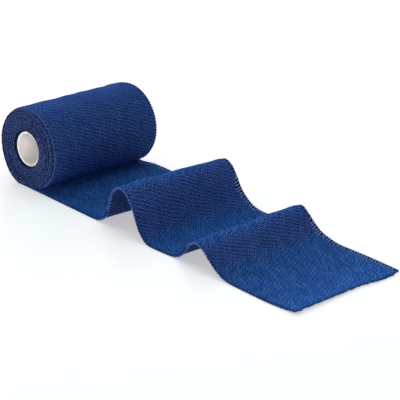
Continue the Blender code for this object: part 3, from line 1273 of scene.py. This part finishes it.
@dataclass
class Overlock:
    """Overlock sewn over both selvages: loops along the edge, long threads and stitches.

    At the far selvage the stitches are pale, over dark long threads, whose places outside the
    edge and over the cloth's middle are in far_bands. At the near one the upper stitches and the
    long thread are blue, and the lower stitches mauve. Its edge loops are lit and shaded copies:
    mauve as painted light where they stand high on the waves, and dark as painted shade where they
    lie low by the table. The seeds are those of the stitches on the upper and on the lower face.
    """

    pitch: float = 2.2 * MM
    half_cloth: float = 0.53 * MM
    loop_radius: float = 0.28 * MM
    loop_bow: float = 0.35 * MM
    stitch_radius: float = 0.27 * MM
    blue_radius: float = 0.216 * MM
    band_radius: float = 0.36 * MM
    dark_radius: float = 0.288 * MM
    far_depth: float = 5.8 * MM
    near_depth: float = 1.4 * MM
    outside: float = 0.25 * MM
    lean: float = 1.4 * MM
    sway: float = 0.12 * MM
    wave_reach: float = 45.0 * MM
    # Height over which the near edge loops are drawn mauve, as painted light; lower ones are drawn
    # dark, as painted shade.
    lit_loops_from: float = 11.0 * MM
    far_bands: tuple = (
        (0.20 * MM, 0.30 * MM),
        (-0.45 * MM, 0.52 * MM),
        (-1.10 * MM, 0.52 * MM),
        (-1.75 * MM, 0.50 * MM),
    )
    near_band: tuple[float, float] = (0.15 * MM, -0.30 * MM)
    far_seeds: tuple[int, int] = (51, 52)
    near_seeds: tuple[int, int] = (53, 54)

    def loops(self, edge: Selvage) -> np.ndarray:
        """Paths of the edge loops: they bow out from the edge by 0.35 sin(pi s) mm each pitch.

        Args:
            edge: the selvage.

        Returns:
            Loops x 6 x 3 points.
        """
        starts = np.arange(self.pitch * 0.5, edge.places[-1] - self.pitch * 1.2, self.pitch)
        share = np.linspace(0.0, 1.0, 6)[None, :]
        middles, up, out = edge.at(starts[:, None] + share * self.pitch * 0.86)
        bow = self.half_cloth * 0.5 + self.loop_bow * np.sin(math.pi * share)[..., None]
        return middles + out * bow + up * 0.20 * MM * np.cos(math.pi * share)[..., None]

    def band(self, edge: Selvage, out_by: float, up_by: float) -> np.ndarray:
        """Path of one long thread beside the edge, swaying by 0.12 mm with the stitches.

        Args:
            edge: the selvage.
            out_by: how far outside the edge it runs.
            up_by: how far above the middle of the cloth it runs.

        Returns:
            1 x points x 3 points.
        """
        place = np.arange(0.3 * MM, edge.places[-1] - 0.3 * MM, self.pitch / 3.0)
        middles, up, out = edge.at(place)
        sway = self.sway * np.sin(FULL_TURN * place / self.pitch)[:, None]
        return (middles + out * (out_by + sway) + up * up_by)[None]

    def stitches(self, edge: Selvage, over: bool, depth: float, seed: int) -> np.ndarray:
        """Paths of the stitches from the edge inwards, on one face of the cloth.

        Each stitch is moved along the edge, and made shorter, by chance. They reach in farthest
        low on the slopes, less far where the cloth lies level, and least towards the crests.

        Args:
            edge: the selvage.
            over: true for the upper face of the cloth, false for the lower one.
            depth: how far the longest ones reach in from the edge.
            seed: number that fixes the random choices.

        Returns:
            Stitches x 8 x 3 points.
        """
        source = np.random.default_rng(seed)
        starts = np.arange(self.pitch, edge.places[-1] - self.pitch, self.pitch)
        starts = starts + source.uniform(-0.22, 0.22, len(starts)) * self.pitch
        feet, tilt, _ = edge.at(starts)
        near_by = np.abs(starts[:, None] - starts[None, :]) < self.wave_reach
        crest = np.maximum(np.where(near_by, feet[None, :, 2], 0.0).max(axis=1), 10.0 * MM)
        raised = 1.15 - 0.75 * smooth_step(feet[:, 2] / crest, 0.45, 0.8)
        steep = 0.75 + 0.25 * smooth_step(1.0 - np.abs(tilt[:, 2]), 0.005, 0.05)
        reach = (depth * raised * steep * source.uniform(0.6, 1.0, len(starts)))[:, None]
        slant = (self.lean * source.uniform(0.6, 1.4, len(starts)))[:, None]
        face = 1.0 if over else -1.0
        share = np.linspace(0.0, 1.0, 8)[None, :]
        middles, up, out = edge.at(starts[:, None] + (share - 0.5) * slant)
        inwards = (self.outside - share * reach)[..., None]
        up_over = np.sin(math.pi / 2.0 * np.clip(share * 6.0, 0.0, 1.0))
        down_again = 0.6 * np.clip(share * 6.0 - 5.0, 0.0, 1.0)
        over_band = self.half_cloth + self.stitch_radius + 0.5 * self.band_radius
        high = face * ((up_over - down_again) * over_band)[..., None]
        return middles + out * inwards + up * high

    def build(
        self, name: str, paths: list[np.ndarray], radius: float, thread: bpy.types.Material
    ) -> bpy.types.Object:
        """Join threads into one piece and keep them off the table.

        Args:
            name: the piece's name.
            paths: threads x points x 3, one array for each run.
            radius: half the thread's thickness.
            thread: its material.

        Returns:
            The piece.
        """
        runs = [thread_tubes(run, radius) for run in paths]
        counts = np.cumsum([0] + [len(points) for points, _ in runs[:-1]])
        points = np.concatenate([points for points, _ in runs])
        quads = np.concatenate([quads + count for (_, quads), count in zip(runs, counts)])
        points[:, 2] = np.maximum(points[:, 2], 0.02 * MM)
        piece = make_piece(name, points, quads, [thread])
        return piece


@dataclass
class FrayedCut:
    """Short yarn ends along the cut edge of the cloth."""

    spacing: float = 0.9 * MM
    radius: float = 0.2 * MM
    reach: float = 0.32 * MM
    height: float = 0.32 * MM
    seed: int = 12

    def paths(self, sheet: LooseEnd) -> np.ndarray:
        """Paths of the yarn ends: straight out of the cut, each turned and bent by chance.

        Args:
            sheet: the loose end that is cut.

        Returns:
            Yarns x 5 x 3 points.
        """
        count = int(sheet.width / self.spacing)
        source = np.random.default_rng(self.seed)
        place = (np.arange(count) + source.uniform(0.2, 0.8, count)) / count
        start, _, ahead = sheet.cut_edge().at(place)
        along = np.linspace(-1.0, 1.0, 5)[None, :, None]
        long = (self.reach * source.uniform(0.5, 1.5, count))[:, None, None]
        bend = source.normal(0.0, 0.35, (count, 1, 3)) * (along + 1.0) ** 2 / 4.0
        height = source.uniform(-self.height, self.height, count)[:, None, None]
        straight = start[:, None] + ahead[:, None] * along * long
        return straight + bend * long + height * np.array([0.0, 0.0, 1.0])


@dataclass(frozen=True)
class Softbox:
    """An oblong lamp that faces the object, from a direction given in degrees.

    The azimuth turns from +X towards +Y, and the elevation is over the table's plane. The
    radiance is how bright it looks, a white table in full light being one. The spread is the
    angle of its grid in degrees. A disc has the first size as its diameter.
    """

    name: str
    azimuth: float
    elevation: float
    distance: float
    size: tuple[float, float]
    radiance: float
    tint: str
    aim: tuple[float, float, float] = (0.0, 0.0, 0.0)
    spread: float = 180.0
    disc: bool = False

    def hang(self) -> None:
        """Hang the lamp, its power being pi times its area times its radiance."""
        a, e = math.radians(self.azimuth), math.radians(self.elevation)
        towards = Vector((math.cos(a) * math.cos(e), math.sin(a) * math.cos(e), math.sin(e)))
        data = bpy.data.lights.new(self.name, "AREA")
        data.shape = "DISK" if self.disc else "RECTANGLE"
        data.size, data.size_y = self.size
        area = self.size[0] * self.size[1] * (math.pi / 4.0 if self.disc else 1.0)
        data.energy = math.pi * area * self.radiance
        data.color = linear(self.tint)[:3]
        data.spread = math.radians(self.spread)
        lamp = bpy.data.objects.new(self.name, data)
        lamp.location = Vector(self.aim) + towards * self.distance
        lamp.rotation_mode = "QUATERNION"
        lamp.rotation_quaternion = (-towards).to_track_quat("-Z", "Y")
        bpy.context.scene.collection.objects.link(lamp)


@dataclass
class Studio:
    """The table, the lamps and the camera, none of which is part of the object.

    The camera's place is given from the foot of the roll. The rim reflector is as wide as the
    core's mouth and shines straight at it, so that it lights little more than the core's rim.
    """

    foot: np.ndarray
    table_side: float = 12.0
    table_points: int = 13
    walls: str = "#F8FFE4"
    walls_light: float = 0.20
    sensor: float = 36.0
    lens: float = 131.2146
    azimuth: float = 44.8293
    elevation: float = 22.6708
    roll: float = 2.5933
    eye: tuple[float, float, float] = (776.024 * MM, -652.738 * MM, 403.120 * MM)
    lamps: tuple = (
        Softbox("back_softbox", 140.0, 31.0, 1.8, (2.3, 1.1), 0.82, "#FFE8F8"),
        Softbox("overhead_softbox", 80.0, 80.0, 1.7, (1.2, 1.2), 1.62, "#C8E2FC"),
        Softbox("back_top_softbox", 120.0, 65.0, 1.8, (1.4, 1.4), 0.44, "#C8FFFC"),
        Softbox("left_softbox", 190.0, 35.0, 1.8, (1.4, 1.4), 1.85, "#D8EEFA"),
        Softbox("end_softbox", 274.0, 11.0, 1.5, (0.9, 0.5), 2.4, "#C8FFF8"),
        Softbox("warm_reflector", 332.0, 10.0, 1.6, (1.2, 0.5), 1.35, "#FF7050"),
        Softbox(
            "core_reflector",
            325.0,
            10.0,
            0.2,
            (0.016, 0.016),
            0.47,
            "#FFF5FC",
            aim=(-0.1166, -0.048, 0.0285),
            spread=5.0,
        ),
        Softbox(
            "rim_reflector",
            272.0,
            2.0,
            0.2,
            (0.025, 0.025),
            1.0,
            "#FFEFF2",
            aim=(-0.1166, -0.049, 0.0291),
            spread=2.0,
            disc=True,
        ),
    )

    def table(self) -> None:
        """Lay the plain pale table under the object: a flat grid at z = 0."""
        count = self.table_points
        line = np.linspace(-self.table_side / 2.0, self.table_side / 2.0, count)
        x, y = np.meshgrid(line, line, indexing="ij")
        points = np.stack([x, y, np.zeros_like(x)], axis=-1).reshape(-1, 3)
        mesh = bpy.data.meshes.new("table_top")
        mesh.from_pydata(points.tolist(), [], grid_quads(count, count, False, False).tolist())
        mesh.materials.append(StudioAcrylic().material())
        top = bpy.data.objects.new("table_top", mesh)
        bpy.context.scene.collection.objects.link(top)

    def light(self) -> None:
        """Light the object from behind, above and the left, and the roll's end from low down."""
        world = bpy.data.worlds.new("studio_walls")
        world.use_nodes = True
        backdrop = world.node_tree.nodes["Background"]
        backdrop.inputs["Color"].default_value = linear(self.walls)
        backdrop.inputs["Strength"].default_value = self.walls_light
        bpy.context.scene.world = world
        for lamp in self.lamps:
            lamp.hang()
        bpy.context.scene.view_settings.view_transform = "Standard"

    def camera(self) -> None:
        """Set the camera where the photograph was taken from.

        Its directions come from the azimuth a, elevation e and roll: forwards is (-sin a cos e,
        cos a cos e, -sin e), and right and up are turned about it by the roll.
        """
        a, e, roll = (math.radians(x) for x in (self.azimuth, self.elevation, self.roll))
        ahead = Vector((-math.sin(a) * math.cos(e), math.cos(a) * math.cos(e), -math.sin(e)))
        level = Vector((math.cos(a), math.sin(a), 0.0))
        above = level.cross(ahead)
        right = level * math.cos(roll) + above * math.sin(roll)
        up = above * math.cos(roll) - level * math.sin(roll)
        data = bpy.data.cameras.new("photo_camera")
        data.sensor_width = self.sensor
        data.lens = self.lens
        camera = bpy.data.objects.new("photo_camera", data)
        matrix = Matrix((right, up, -ahead)).transposed().to_4x4()
        matrix.translation = Vector(self.eye) + Vector(self.foot)
        camera.matrix_world = matrix
        bpy.context.scene.collection.objects.link(camera)
        bpy.context.scene.camera = camera


def roll_foot() -> np.ndarray:
    """Point on the table under the middle of the core's axis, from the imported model."""
    low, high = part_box("core_tube")
    return np.array([(low.x + high.x) / 2.0, (low.y + high.y) / 2.0, 0.0])


def main() -> None:
    """Build the studio and then the bandage roll, piece by piece."""
    logging.basicConfig(level=logging.INFO, format="%(name)s: %(message)s")
    foot = roll_foot()
    studio = Studio(foot)
    studio.camera()
    studio.table()
    studio.light()
    weave = CohesiveCloth().material()
    edges = WoundEdges().material()
    dark_thread = OverlockThread("navy_overlock_thread", "#203468", "#0D1738").material()
    pale_thread = OverlockThread("pale_overlock_thread", "#CFE0FF", "#6C88D0").material()
    blue_thread = OverlockThread("blue_overlock_thread", "#2A4C9C", "#142458").material()
    mauve_thread = OverlockThread("mauve_overlock_thread", "#7C96E0", "#3C5CB0").material()
    yarn_thread = OverlockThread("blue_yarn_ends", "#5F78CC", "#16265A").material()
    rim_thread = OverlockThread("rubbed_yarn_ends", "#8CA4EC", "#3450A0").material()
    CoreTube(foot).build(MouldedPolypropylene().material())
    roll = WoundCloth(foot)
    roll.build(weave, edges)
    sheet = LooseEnd(foot)
    cloth = sheet.build(weave)
    overlock = Overlock()
    near, far = sheet.selvage(Side.NEAR), sheet.selvage(Side.FAR)
    near_loops = overlock.loops(near)
    # Painted light and shade: near edge loops high on the waves get the mauve thread, and those
    # low by the table get the dark thread.
    raised = near_loops[:, :, 2].mean(axis=1) > overlock.lit_loops_from
    bands = overlock.build(
        "overlock_dark_bands",
        [overlock.band(far, *by) for by in overlock.far_bands] + [near_loops[~raised]],
        overlock.dark_radius,
        dark_thread,
    )
    loops = overlock.build(
        "overlock_under_thread",
        [
            near_loops[raised],
            overlock.stitches(near, False, overlock.near_depth, overlock.near_seeds[1]),
            overlock.stitches(far, False, overlock.far_depth, overlock.far_seeds[1]),
        ],
        overlock.loop_radius,
        mauve_thread,
    )
    pale_stitches = overlock.build(
        "overlock_pale_stitches",
        [overlock.stitches(far, True, overlock.far_depth, overlock.far_seeds[0])],
        overlock.stitch_radius,
        pale_thread,
    )
    blue_stitches = overlock.build(
        "overlock_blue_stitches",
        [
            overlock.stitches(near, True, overlock.near_depth, overlock.near_seeds[0]),
            overlock.band(near, *overlock.near_band),
        ],
        overlock.blue_radius,
        blue_thread,
    )
    rims = [overlock.loops(roll.outer_selvage(side)) for side in Side]
    overlock.build("roll_rim_loops", rims, overlock.loop_radius, rim_thread)
    ends = [roll.yarn_ends(side, *apart) for side, apart in zip(Side, roll.yarn_spacing)]
    overlock.build("wound_yarn_ends", ends, roll.yarn_radius, yarn_thread)
    cut = FrayedCut()
    fray = overlock.build("cut_edge_yarns", [cut.paths(sheet)], cut.radius, dark_thread)
    LOG.info("loose end: %.1f mm along the cloth", sheet.length / MM)


if __name__ == "__main__":
    main()
